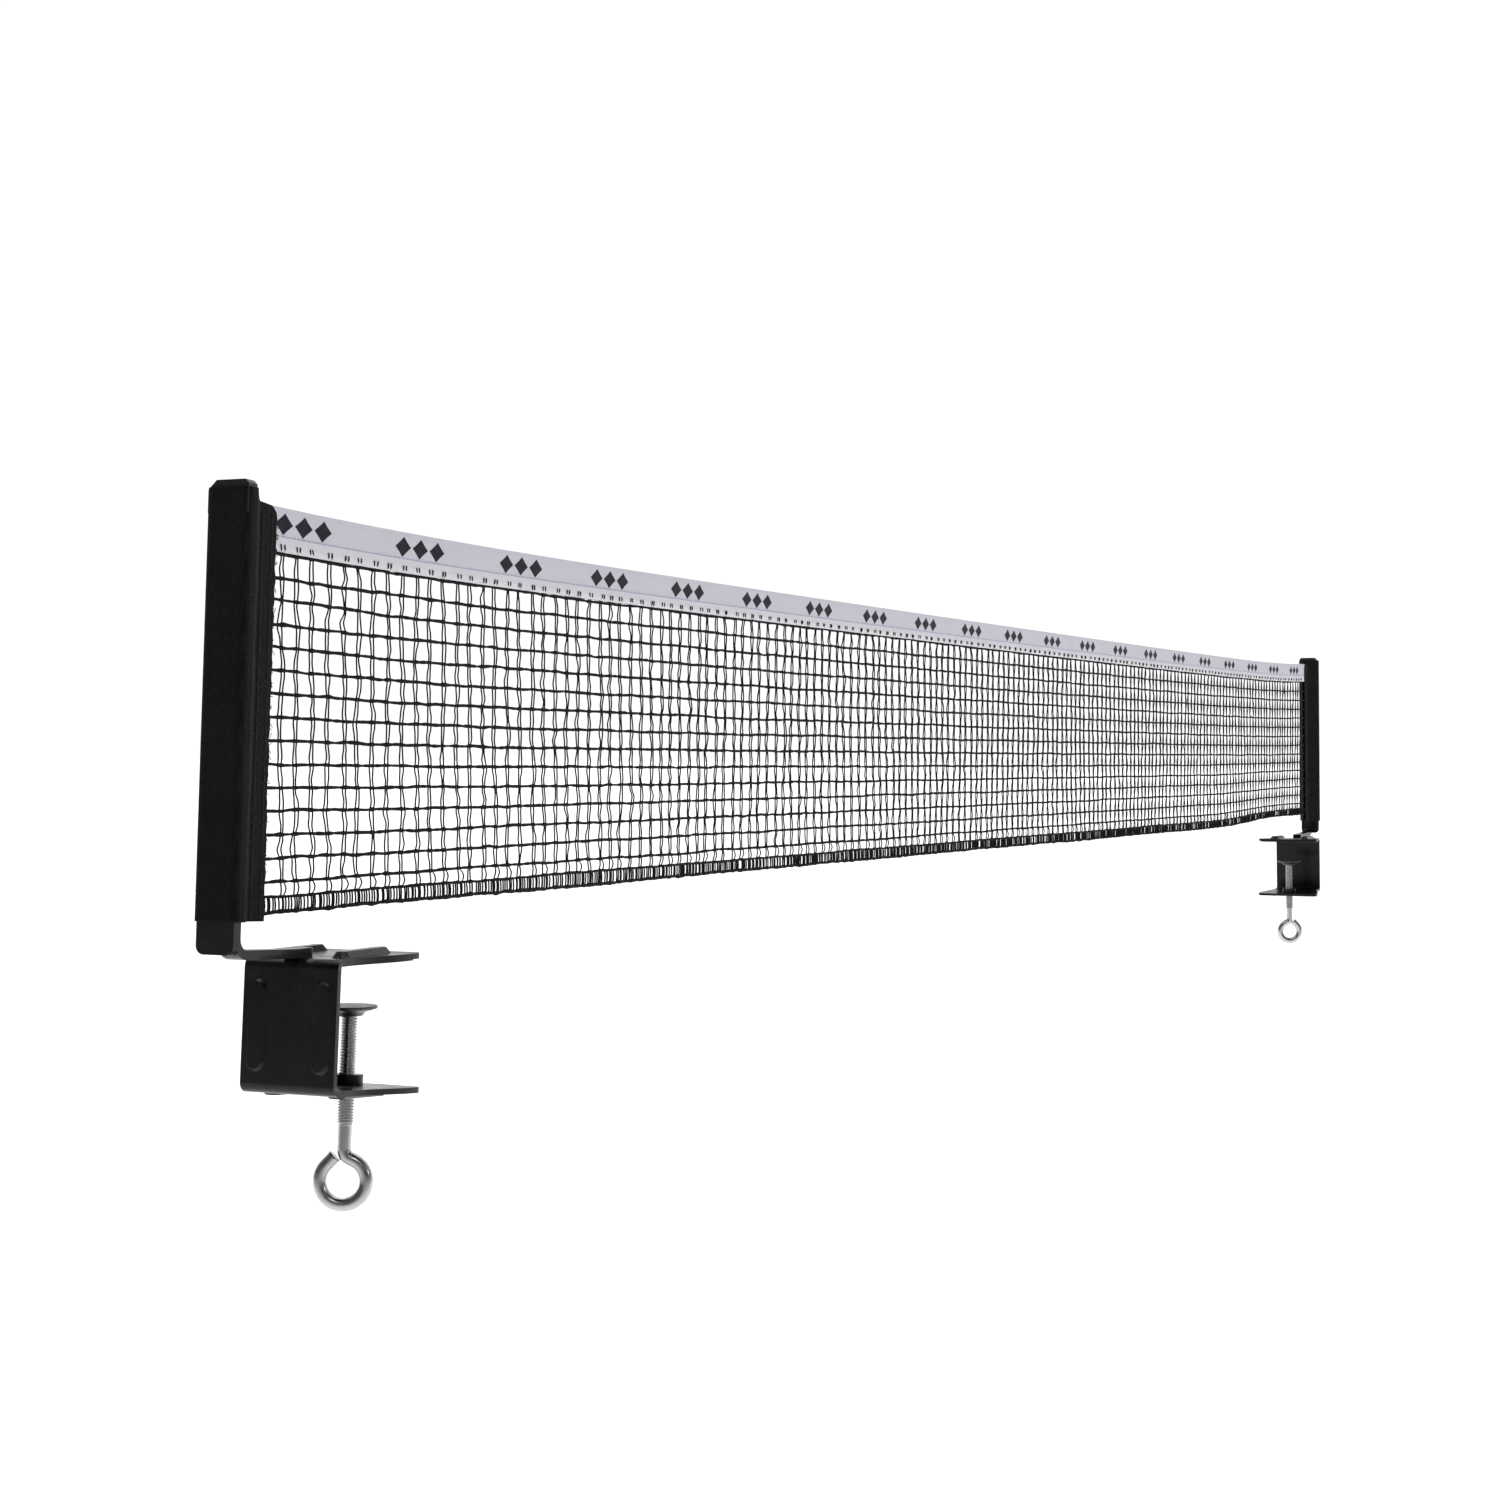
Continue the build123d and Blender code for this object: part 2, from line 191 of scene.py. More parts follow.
def cloth(name, color, lighter, roughness, pitch, depth, sheen):
    """Woven fabric with a painted highlight on the raised threads, fuzz and uneven dye."""
    n = Nodes(name, color, roughness)
    n.shader.inputs["Sheen Weight"].default_value = sheen
    n.shader.inputs["Sheen Roughness"].default_value = 0.5
    n.shader.inputs["Specular IOR Level"].default_value = 0.14
    thread = n.weave(pitch)
    fuzz = n.noise(2600, 4)
    lit_tops = n.math("MULTIPLY", thread, n.span(fuzz, 0.4, 1.0))
    # Painted highlight: the colour turns lighter where the weave stands up. Fuzz breaks it up, and uneven dye
    # varies it.
    n.colors(n.math("MULTIPLY", lit_tops, n.span(n.noise(60, 4), 0.55, 1.0)), color, lighter)
    n.wire(n.span(n.noise(500, 3), roughness - 0.08, roughness + 0.08), n.shader.inputs["Roughness"])
    n.bumps(n.math("ADD", thread, n.math("MULTIPLY", fuzz, 0.5)), depth, 0.9)
    return n.material


BLACK_PAINT = paint("black_paint", (0.005, 0.005, 0.0054), (0.010, 0.0095, 0.010), 0.27)
POST_PAINT = paint("post_paint", (0.004, 0.004, 0.0044), (0.009, 0.009, 0.0095), 0.38)
RUBBER = moulded("black_rubber", (0.012, 0.012, 0.012), (0.028, 0.028, 0.029), 0.62, 1400)
PLASTIC = moulded("black_plastic", (0.006, 0.006, 0.0065), (0.014, 0.014, 0.0145), 0.36, 2200)
DARK_STEEL = metal("dark_steel", (0.075, 0.075, 0.08), (0.12, 0.118, 0.12), 0.38)
ZINC = metal("zinc_steel", (0.42, 0.43, 0.45), (0.53, 0.52, 0.505), 0.22)
SLEEVE = cloth("black_fabric", (0.002, 0.002, 0.0023), (0.02, 0.02, 0.022), 0.88, 1.5 * MM, 0.22 * MM, 0.02)
SLEEVE_YARN = cloth("sleeve_thread", (0.01, 0.01, 0.012), (0.04, 0.04, 0.044), 0.7, 0.5 * MM, 0.06 * MM, 0.04)
TAPE_CLOTH = cloth("white_tape", (0.66, 0.65, 0.73), (0.79, 0.78, 0.85), 0.62, 0.7 * MM, 0.03 * MM, 0.1)
TAPE_HEM_CLOTH = cloth("tape_hem", (0.74, 0.725, 0.78), (0.88, 0.865, 0.91), 0.66, 0.7 * MM, 0.03 * MM, 0.1)
TAPE_THREAD = cloth("tape_thread", (0.42, 0.40, 0.58), (0.58, 0.56, 0.72), 0.55, 0.4 * MM, 0.03 * MM, 0.1)
PRINT = cloth("tape_print", (0.008, 0.006, 0.013), (0.022, 0.018, 0.034), 0.58, 0.7 * MM, 0.03 * MM, 0.0)
CORD = cloth("net_cord", (0.005, 0.004, 0.0045), (0.02, 0.017, 0.017), 0.88, 0.8 * MM, 0.1 * MM, 0.03)


# ---- building pieces
def build(name, points, faces, material, body, smooth=True):
    """A mesh piece that rides on a CAD body and takes a material slot."""
    mesh = bpy.data.meshes.new(name)
    corners = faces.tolist() if isinstance(faces, np.ndarray) else faces
    mesh.from_pydata(np.asarray(points).tolist(), [], corners)
    mesh.materials.append(material)
    mesh.polygons.foreach_set("use_smooth", [smooth and len(face) == 4 for face in corners])
    mesh.update()
    made = bpy.data.objects.new(name, mesh)
    bpy.context.scene.collection.objects.link(made)
    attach(made, body)
    return made


def grid_faces(rows, columns, wrap=False, first=0):
    """Faces of a grid of points numbered row by row; wrap joins the last column to the first."""
    r, c = np.meshgrid(np.arange(rows - 1), np.arange(columns if wrap else columns - 1), indexing="ij")
    after = (c + 1) % columns
    low, high = r * columns, (r + 1) * columns
    quads = np.stack([low + c, low + after, high + after, high + c], -1)
    return quads.reshape(-1, 4) + first


def shell_faces(rows, columns):
    """Faces of a thin cloth: two grids of points, one after the other, joined round their rims."""
    skin = rows * columns
    up = np.arange(rows) * columns
    along = np.arange(columns)
    rims = [along, up + columns - 1, along[::-1] + skin - columns, up[::-1]]
    walls = [np.stack([rim[:-1], rim[:-1] + skin, rim[1:] + skin, rim[1:]], 1) for rim in rims]
    return np.concatenate([grid_faces(rows, columns), grid_faces(rows, columns, first=skin)[:, ::-1], *walls])


def tubes(paths, radius, sides, across):
    """Tubes round many paths with the same number of points: paths is (tubes, points, 3)."""
    paths = np.asarray(paths, float)
    count, steps, _ = paths.shape
    along = np.gradient(paths, axis=1)
    along /= np.linalg.norm(along, axis=2, keepdims=True)
    up = np.cross(along, across)
    up /= np.linalg.norm(up, axis=2, keepdims=True)
    side = np.cross(up, along)
    turn = np.arange(sides) * 2 * np.pi / sides
    radii = np.broadcast_to(radius, (count, steps))[:, :, None, None]
    ring = up[:, :, None] * np.cos(turn)[:, None] + side[:, :, None] * np.sin(turn)[:, None]
    points = paths[:, :, None] + radii * ring
    faces = [grid_faces(steps, sides, True, k * steps * sides) for k in range(count)]
    return points.reshape(-1, 3), np.concatenate(faces)


def boxes(centres, along, up, out, sizes):
    """Small rounded-off bars: each has a centre and lies along three directions."""
    corners = np.array([[x, y, z] for x in (-0.5, 0.5) for y in (-0.5, 0.5) for z in (-0.5, 0.5)])
    quads = np.array([[0, 1, 3, 2], [4, 6, 7, 5], [0, 4, 5, 1], [2, 3, 7, 6], [0, 2, 6, 4], [1, 5, 7, 3]])
    axes = np.stack([np.broadcast_to(v, centres.shape) for v in (along, up, out)], 1)
    points = centres[:, None] + np.einsum("ci,nij->ncj", corners * np.array(sizes), axes)
    faces = quads[None] + (np.arange(len(centres)) * 8)[:, None, None]
    return points.reshape(-1, 3), faces.reshape(-1, 4)


def turned(points):
    """The same points turned half round the middle of the net, for the right end."""
    points = np.asarray(points, float)
    return np.stack([SPAN - points[:, 0], -points[:, 1], points[:, 2]], 1)


SIDES = (("left", lambda points: points), ("right", turned))


# ---- eye bolts: a rolled M6 thread, a plain neck and the bent eye
PITCH = 1.0 * MM
CREST = 2.95 * MM
ROOT = 2.38 * MM
THREAD_END = -57.0 * MM
THREAD_TIP = -17.25 * MM
WIRE = 2.4 * MM
EYE_RADIUS = 8.0 * MM
EYE_CENTRE = -76.2 * MM
EYE_BEND = 3.5 * MM
EYE_END = math.radians(-222)
EYE_TAIL = 4.4 * MM
EYE_TURN = math.radians(-65.7)
ROUND = 40
WIRE_SIDES = 28
STEPS_PER_TURN = 8

screw_x = np.array([math.cos(STRAIN), 0, -math.sin(STRAIN)])
screw_z = np.array([math.sin(STRAIN), 0, math.cos(STRAIN)])
screw_origin = np.array([0, CLAMP_Y, 0])
eye_x = screw_x * math.cos(EYE_TURN) + np.array([0, math.sin(EYE_TURN), 0])
eye_normal = np.cross(eye_x, screw_z)

steps = int((THREAD_TIP - THREAD_END) / PITCH * STEPS_PER_TURN) + 1
heights = np.linspace(THREAD_END, THREAD_TIP, steps)
turn = np.arange(ROUND) * 2 * np.pi / ROUND
phase = (heights[:, None] / PITCH - turn[None] / (2 * np.pi)) % 1.0
ridge = np.clip(1.35 * (1 - np.abs(2 * phase - 1)) - 0.12, 0, 1)
fade = np.clip((heights - THREAD_END) / PITCH, 0, 1) * np.clip((THREAD_TIP - heights) / PITCH, 0, 1)
radius = ROOT + (CREST - ROOT) * ridge * fade[:, None]
screw_y = np.array([0, 1, 0])
radial = screw_x * np.cos(turn)[:, None] + screw_y * np.sin(turn)[:, None]
thread = screw_origin + heights[:, None, None] * screw_z + radius[:, :, None] * radial[None]
thread_faces = grid_faces(steps, ROUND, True).tolist()
thread_faces.append([(steps - 1) * ROUND + k for k in range(ROUND)])

bend_z = EYE_CENTRE + math.sqrt(EYE_RADIUS**2 + 2 * EYE_BEND * EYE_RADIUS)
bend_angle = math.atan2(bend_z - EYE_CENTRE, EYE_BEND)
straight = np.stack([np.zeros(16), np.linspace(THREAD_END + PITCH, bend_z, 16)], 1)[:-1]
swing = np.linspace(math.pi, math.pi + bend_angle, 12)
bend = np.stack([EYE_BEND + EYE_BEND * np.cos(swing), bend_z + EYE_BEND * np.sin(swing)], 1)[:-1]
swing = np.linspace(bend_angle, EYE_END, 80)
ring = np.stack([EYE_RADIUS * np.cos(swing), EYE_CENTRE + EYE_RADIUS * np.sin(swing)], 1)
tail = ring[-1] + np.linspace(0, EYE_TAIL, 6)[1:, None] * np.array([math.sin(EYE_END), -math.cos(EYE_END)])
wire = np.concatenate([straight, bend, ring, tail])
wire_path = screw_origin + wire[:, :1] * eye_x + wire[:, 1:] * screw_z
wire_points, wire_faces = tubes(wire_path[None], WIRE, WIRE_SIDES, eye_normal)
bolt_points = np.concatenate([thread.reshape(-1, 3), wire_points])
cut_end = list(range(len(bolt_points) - WIRE_SIDES, len(bolt_points)))
bolt_faces = thread_faces + (wire_faces + steps * ROUND).tolist() + [cut_end]
for side, place in SIDES:
    name = f"{side}_eye_bolt_threaded"
    bolt = build(name, place(bolt_points), bolt_faces, ZINC, f"{side}_screw")
    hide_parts(f"{side}_eye_bolt")


# ---- fabric sleeves: round the post, drawn in to a stitched seam, and on to a flap that holds the net
SLEEVE_OUT = 41.45 * MM
SLEEVE_HALF = 8.35 * MM
SLEEVE_SHOULDER = 35.2 * MM
SLEEVE_SEAM = 24.5 * MM
SLEEVE_WALL = 0.45 * MM
SLEEVE_CORNER = 2.4 * MM
SLEEVE_LOW = 12.3 * MM
SLEEVE_TOP = 152.0 * MM
FLAP_TOP = 149.6 * MM
FLAP_HALF = 1.2 * MM
lean_x = np.array([math.cos(LEAN), 0, -math.sin(LEAN)])
lean_z = np.array([math.sin(LEAN), 0, math.cos(LEAN)])
lean_origin = np.array([WEB_OUT, 0, JAW_TOP])


def leaned(points):
    """Points given along the leaning post's own directions, in the row frame."""
    points = np.asarray(points, float)
    return lean_origin + points[:, :1] * lean_x + points[:, 1:2] * screw_y + points[:, 2:3] * lean_z


def resampled(corners, gap):
    """Points at an even gap along a polyline."""
    corners = np.asarray(corners, float)
    run = np.concatenate([[0], np.cumsum(np.linalg.norm(np.diff(corners, axis=0), axis=1))])
    at = np.linspace(0, run[-1], int(run[-1] / gap) + 1)
    return np.stack([np.interp(at, run, corners[:, k]) for k in range(corners.shape[1])], 1)


corner_turn = np.linspace(0, math.pi / 2, 8)
front_corner = np.stack(
    [
        -SLEEVE_OUT + SLEEVE_CORNER - SLEEVE_CORNER * np.sin(corner_turn),
        SLEEVE_HALF - SLEEVE_CORNER + SLEEVE_CORNER * np.cos(corner_turn),
    ],
    1,
)
half_outline = np.concatenate(
    [
        [[-FLAP_END, FLAP_HALF], [-SLEEVE_SEAM + 1.2 * MM, FLAP_HALF], [-SLEEVE_SEAM, FLAP_HALF - 0.15 * MM]],
        [[-SLEEVE_SEAM - 2.2 * MM, FLAP_HALF + 1.1 * MM], [-SLEEVE_SHOULDER - 0.8 * MM, SLEEVE_HALF]],
        front_corner,
    ]
)
outline = resampled(np.concatenate([half_outline, half_outline[::-1] * [1, -1]]), 0.75 * MM)
tangent = np.gradient(outline, axis=0)
tangent /= np.linalg.norm(tangent, axis=1, keepdims=True)
inward = np.stack([-tangent[:, 1], tangent[:, 0]], 1)
inside_line = outline + inward * SLEEVE_WALL
edge_x = outline[:, 0]
outline_top = np.interp(
    edge_x,
    [-SLEEVE_SHOULDER, -SLEEVE_SHOULDER + 3 * MM, -SLEEVE_SEAM, -FLAP_END - 2.5 * MM, -FLAP_END],
    [SLEEVE_TOP, SLEEVE_TOP - 0.8 * MM, FLAP_TOP, FLAP_TOP - 0.6 * MM, FLAP_TOP - 2.6 * MM],
)
levels = np.linspace(0, 1, 150)
ragged = np.interp(levels, np.linspace(0, 1, 60), rng.normal(0, 0.28 * MM, 60))
rumple = np.interp(levels, np.linspace(0, 1, 18), rng.normal(0, 0.10 * MM, 18))
flap_share = np.clip((edge_x + SLEEVE_SEAM) / (SLEEVE_SEAM - FLAP_END), 0, 1) ** 3
slack_share = np.exp(-(((edge_x + 30 * MM) / (5 * MM)) ** 2))
up = SLEEVE_LOW + levels[:, None] * (outline_top - SLEEVE_LOW)


def sleeve_layer(line):
    """One skin of the sleeve: its outline repeated up the post, with rumples and a ragged flap edge."""
    x = line[:, 0] + ragged[:, None] * flap_share
    slack = (rumple[:, None] + 0.10 * MM * np.sin(up / (9 * MM))) * slack_share
    y = line[:, 1] + slack * np.sign(line[:, 1])
    return np.stack([x, y, up], -1)


layers = [sleeve_layer(outline), sleeve_layer(inside_line)]
sleeve_points = leaned(np.concatenate([layer.reshape(-1, 3) for layer in layers]))
sleeve_faces = shell_faces(len(levels), len(outline))
stitch_z = np.arange(SLEEVE_LOW + 2 * MM, FLAP_TOP - 1 * MM, 3.2 * MM)
stitch_rows = []
for stitch_x in (-SLEEVE_SEAM + 1.6 * MM, -FLAP_END - 2.6 * MM):
    for face in (-1, 1):
        spots = [(stitch_x, face * FLAP_HALF, z) for z in stitch_z]
        stitch_rows.append(leaned(spots))
SLEEVE_STITCH = (2.3 * MM, 0.45 * MM, 0.34 * MM)
stitch_points, stitch_faces = boxes(np.concatenate(stitch_rows), lean_z, lean_x, screw_y, SLEEVE_STITCH)

# Short ends of thread stand out of the flap's cut edge.
FRINGE = 110
FRINGE_RADIUS = 0.13 * MM
FRINGE_START = -0.0006
FRINGE_POINTS = 6
fringe_z = np.sort(rng.uniform(SLEEVE_LOW + 1 * MM, FLAP_TOP - 3 * MM, FRINGE))
fringe_out = np.linspace(FRINGE_START, 1, FRINGE_POINTS) * rng.uniform(0.5 * MM, 1.6 * MM, (FRINGE, 1))
fringe_bend = np.linspace(0, 1, FRINGE_POINTS) ** 2 * rng.normal(0, 0.9 * MM, (FRINGE, 1))
fringe_y = rng.choice([-1, 1], (FRINGE, 1)) * (FLAP_HALF - 0.2 * MM)
fringe_local = np.broadcast_arrays(-FLAP_END + fringe_out, fringe_y, fringe_z[:, None] + fringe_bend)
fringe_paths = leaned(np.stack(fringe_local, -1).reshape(-1, 3)).reshape(FRINGE, FRINGE_POINTS, 3)
fringe_points, fringe_faces = tubes(fringe_paths, FRINGE_RADIUS, 4, np.array([0, 1, 0]))
for side, place in SIDES:
    sleeve = build(f"{side}_sleeve_cloth", place(sleeve_points), sleeve_faces, SLEEVE, "root")
    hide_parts(f"{side}_net_sleeve")
    placed = place(stitch_points)
    seam = build(f"{side}_sleeve_stitches", placed, stitch_faces, SLEEVE_YARN, "root", False)
    fringe = build(f"{side}_sleeve_fringe", place(fringe_points), fringe_faces, SLEEVE_YARN, "root")


# ---- where the net hangs
def flap_edge(z):
    """X of the left flap's edge at a height."""
    return WEB_OUT - FLAP_END / math.cos(LEAN) + (z - JAW_TOP) * math.tan(LEAN)


def hang(x, z, out=0.0):
    """A point of the sagging, slightly wavy net, from its distance along it and its height at the ends."""
    x, z, out = np.broadcast_arrays(np.asarray(x, float), z, out)
    left = flap_edge(z)
    share = np.clip((x - left) / (SPAN - 2 * left), 0, 1)
    s = np.abs(2 * share - 1)
    drop = SAG * (1 - 0.75 * s**8 - 0.25 * s**2) * (z - NET_BOTTOM) / (NET_HEIGHT - NET_BOTTOM)
    far = np.clip((x - 0.80 * SPAN) / (0.18 * SPAN), 0, 1)
    lift = 5.0 * MM * far * far * (3 - 2 * far) * np.clip(1 - (z - NET_BOTTOM) / (60 * MM), 0, 1)
    free = np.clip(1 - s**10, 0, 1)
    depth = (NET_HEIGHT - z) / (NET_HEIGHT - NET_BOTTOM)
    wave = np.sin(x / 0.061 + 3 * depth) * 0.7 * MM + np.sin(x / 0.023 + 1.0) * 0.25 * MM
    return np.stack([x, out + wave * depth * free, z - drop + lift], -1)


# ---- top tape: folded over the net's top cord and stitched along its lower third
TAPE_LOW = NET_HEIGHT - TAPE_HEIGHT
STITCH_Z = TAPE_LOW + 5.2 * MM
STITCH_PITCH = 3.0 * MM
tape_x = np.linspace(0, 1, 620)
fold = np.linspace(0, math.pi, 9)


def tape_section(half):
    """Half thickness and height up one side of the tape, over its fold and down the other side."""
    wall = np.array([0, 0.18, 0.347, 0.5, 0.75, 1.0]) * (TAPE_HEIGHT - TAPE_HALF)
    front = np.stack([np.full_like(wall, -half), TAPE_LOW + wall], 1)
    over = np.stack([-half * np.cos(fold), NET_HEIGHT - TAPE_HALF + half * np.sin(fold)], 1)[1:-1]
    return np.concatenate([front, over, front[::-1] * [-1, 1]])


tape_skins = []
for half in (TAPE_HALF, TAPE_HALF - TAPE_SKIN):
    section = tape_section(half)
    left = flap_edge(section[:, 1]) - 3 * MM
    x = left + tape_x[:, None] * (SPAN - 2 * left)
    puff = 1 + 0.18 * np.sin(x / (5.5 * MM)) * np.clip(1 - (section[:, 1] - TAPE_LOW) / (5 * MM), 0, 1)
    tape_skins.append(hang(x, section[:, 1], section[:, 0] * puff).reshape(-1, 3))
around = len(section)
tape_faces = shell_faces(len(tape_x), around)[:, ::-1]
tape = build("tape_cloth", np.concatenate(tape_skins), tape_faces, TAPE_CLOTH, "root")
tape.data.materials.append(TAPE_HEM_CLOTH)
section_z = section[:, 1]
low_band = [k for k in range(around - 1) if max(section_z[k], section_z[k + 1]) <= STITCH_Z + 0.1 * MM]
for polygon in tape.data.polygons:
    if min(v % around for v in polygon.vertices) in low_band:
        polygon.material_index = 1
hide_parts("net_tape")

stitch_x = np.arange(flap_edge(STITCH_Z) + 2 * MM, SPAN - flap_edge(STITCH_Z) - 2 * MM, STITCH_PITCH)
stitch_sets = [hang(stitch_x, STITCH_Z, face * (TAPE_HALF + 0.02 * MM)) for face in (-1, 1)]
TAPE_STITCH = (2.3 * MM, 0.42 * MM, 0.26 * MM)
points, faces = boxes(np.concatenate(stitch_sets), (1, 0, 0), (0, 0, 1), (0, 1, 0), TAPE_STITCH)
tape_seam = build("tape_stitches", points, faces, TAPE_THREAD, "root", False)

# The tape's print is a plain row of lozenges.
PRINT_PITCH = 74.5 * MM
LOZENGE_GAP = 11.6 * MM
LOZENGE_LONG = 10.4 * MM
LOZENGE_TALL = 7.4 * MM
PRINT_Z = NET_HEIGHT - 5.6 * MM
first_print = flap_edge(PRINT_Z) + 5 * MM
lozenge_x = [
    start + k * LOZENGE_GAP
    for start in np.arange(first_print, SPAN - flap_edge(PRINT_Z) - 30 * MM, PRINT_PITCH)
    for k in range(3)
]
half_shape = [[-0.5, 0], [-0.2, 0.28], [0, 0.5], [0.2, 0.28]]
shape = np.concatenate([half_shape, np.negative(half_shape)])
CORNERS = len(shape)
SLANT = 0.18
print_points, print_faces = [], []
for face in (-1, 1):
    for centre in lozenge_x:
        rise = shape[:, 1] * LOZENGE_TALL
        spread = centre + shape[:, 0] * LOZENGE_LONG + SLANT * rise
        first = len(print_points)
        for lift in (0.0, 0.05 * MM):
            print_points.extend(hang(spread, PRINT_Z + rise, face * (TAPE_HALF + lift)))
        rim = list(range(first, first + CORNERS))
        print_faces.append([k + CORNERS for k in rim[::face]])
        print_faces.extend([a, b, b + CORNERS, a + CORNERS] for a, b in zip(rim, rim[1:] + rim[:1]))
tape_print = build("tape_print", print_points, print_faces, PRINT, "root", False)

# ---- mesh: level cords crossed by pairs of thin strands that meet at every cord
ROW_COUNT = 15
TOP_ROW = TAPE_LOW - 0.6 * MM
row_z = TOP_ROW - ROW_PITCH * np.arange(ROW_COUNT)
LAST_ROW = row_z[-1]
KNOT_GAP = 5.1 * MM
KNOT_ROW = LAST_ROW - KNOT_GAP
EDGE_ROW = NET_BOTTOM + 0.6 * MM
net_left = flap_edge(TOP_ROW)
columns = np.arange(net_left + 5 * MM, SPAN - net_left - 4 * MM, COLUMN_PITCH)
columns = columns + rng.normal(0, 0.45 * MM, len(columns))


def wander(count, knots, samples, size):
    """Smooth random offsets: count curves through random knots."""
    values = rng.normal(0, size, (count, knots))
    at = np.linspace(0, knots - 1, samples)
    low = np.clip(at.astype(int), 0, knots - 2)
    t = at - low
    ease = t * t * (3 - 2 * t)
    return values[:, low] * (1 - ease) + values[:, low + 1] * ease


def level_cords(heights, radius, samples=1300):
    """Cords along the net at these heights, thicker where a column's strands are looped round them."""
    paths, sizes = [], []
    for z in heights:
        left = flap_edge(z) - 4 * MM
        x = np.linspace(left, SPAN - left, samples)
        wobble = wander(1, 240, samples, 0.13 * MM)[0] + wander(1, 40, samples, 0.16 * MM)[0]
        paths.append(hang(x, z + wobble, wander(1, 240, samples, 0.10 * MM)[0]))
        nearest = np.abs(x[:, None] - columns[None]).min(1)
        lump = 1 + 0.38 * np.exp(-((nearest / (0.9 * MM)) ** 2)) + wander(1, 650, samples, 0.13)[0]
        sizes.append(radius * lump)
    return tubes(np.array(paths), np.array(sizes), 5, np.array([0, 1, 0]))


half_rows = ROW_COUNT // 2
points, faces = level_cords(row_z[:half_rows], ROW_RADIUS)
upper_rows = build("net_cords_upper", points, faces, CORD, "root")
points, faces = level_cords(row_z[half_rows:], ROW_RADIUS)
build("net_cords_lower", points, faces, CORD, "root")

SAMPLES = ROW_COUNT * 6 + 1
strand_z = np.linspace(TOP_ROW + 3.2 * MM, KNOT_ROW, SAMPLES)
cell = (TOP_ROW - strand_z) / ROW_PITCH
strand_paths = []
drift = wander(len(columns), 9, SAMPLES, 0.55 * MM) + wander(len(columns), 31, SAMPLES, 0.42 * MM)
low_share = np.clip((LAST_ROW - strand_z) / KNOT_GAP, 0, 1)
curl = np.sin(np.pi * low_share) * rng.normal(1.7 * MM, 0.7 * MM, (len(columns), 1))
over_tape = np.clip((strand_z - TAPE_LOW) / (0.4 * MM), 0, 1) * (TAPE_HALF + 0.15 * MM)
for which in (-1, 1):
    apart = STRAND_APART + wander(len(columns), 31, SAMPLES, 0.17 * MM)
    own = wander(len(columns), 46, SAMPLES, 0.12 * MM)
    x = columns[:, None] + drift + which * apart + own + curl * (0.6 + 0.4 * which)
    in_out = which * 0.12 * MM * np.cos(np.pi * cell) * (strand_z < TAPE_LOW)
    strand_paths.append(hang(x, strand_z, in_out - over_tape))
for name, paths in zip(("net_strands_first", "net_strands_second"), strand_paths):
    points, faces = tubes(paths, STRAND_RADIUS, 4, np.array([1, 0, 0]))
    build(name, points, faces, CORD, "root")
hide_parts("net_mesh")

# ---- bottom hem: a cord, then close loops down to the edge cord
hem_left = flap_edge(KNOT_ROW)
points, faces = level_cords([KNOT_ROW], ROW_RADIUS * 0.9)
build("hem_upper_cord", points, faces, CORD, "root")
points, faces = level_cords([EDGE_ROW], ROW_RADIUS * 1.15)
build("hem_edge_cord", points, faces, CORD, "root")
loop_x = np.arange(hem_left - 2 * MM, SPAN - hem_left + 2 * MM, LOOP_PITCH)
loop_x = loop_x + rng.normal(0, 0.22 * MM, len(loop_x))
loop_z = np.linspace(KNOT_ROW + 0.3 * MM, EDGE_ROW - 0.3 * MM, 6)
bow = 0.5 * MM * np.sin(np.linspace(0, math.pi, 6))
loops_path = hang(
    loop_x[:, None] + bow + rng.normal(0, 0.18 * MM, (len(loop_x), 1)) * np.linspace(0, 1, 6),
    np.broadcast_to(loop_z, (len(loop_x), 6)),
    rng.normal(0, 0.2 * MM, (len(loop_x), 1)),
)
points, faces = tubes(loops_path, LOOP_RADIUS, 4, np.array([0, 1, 0]))
hem_loops = build("hem_loops", points, faces, CORD, "root")
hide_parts("net_hem")

# ---- the CAD pieces that are shown keep their shape and get their finishes
FINISHES = {
    "clamp_bracket": (BLACK_PAINT, 0.22 * MM),
    "jaw_pad": (RUBBER, 0.15 * MM),
    "pressure_plate": (DARK_STEEL, 0.0),
    "arm": (BLACK_PAINT, 0.30 * MM),
    "post": (POST_PAINT, 0.30 * MM),
    "post_rivets": (POST_PAINT, 0.20 * MM),
    "post_cap": (PLASTIC, 0.25 * MM),
}
for side, _ in SIDES:
    for kind, (finish, edge) in FINISHES.items():
        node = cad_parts[f"{side}_{kind}"]
        node.data.materials.clear()
        node.data.materials.append(finish)
        weld = node.modifiers.new("weld", "WELD")
        weld.merge_threshold = 0.004 * MM
        if edge:
            bevel = node.modifiers.new("edges", "BEVEL")
            bevel.width = edge
            bevel.segments = 2
            bevel.limit_method = "ANGLE"
            bevel.angle_limit = math.radians(35)
        node.data.polygons.foreach_set("use_smooth", [True] * len(node.data.polygons))
        sharp = node.modifiers.new("normals", "WEIGHTED_NORMAL")
        sharp.keep_sharp = True

# ---- the camera's place and direction
CAMERA_PLACE = (-0.7741, -0.5017, 0.0698)
CAMERA_YAW = math.radians(24.27)
CAMERA_PITCH = math.radians(0.17)
CAMERA_ROLL = math.radians(0.2)
CAMERA_LENS = 63.34
view_x, view_y = math.cos(CAMERA_YAW), math.sin(CAMERA_YAW)
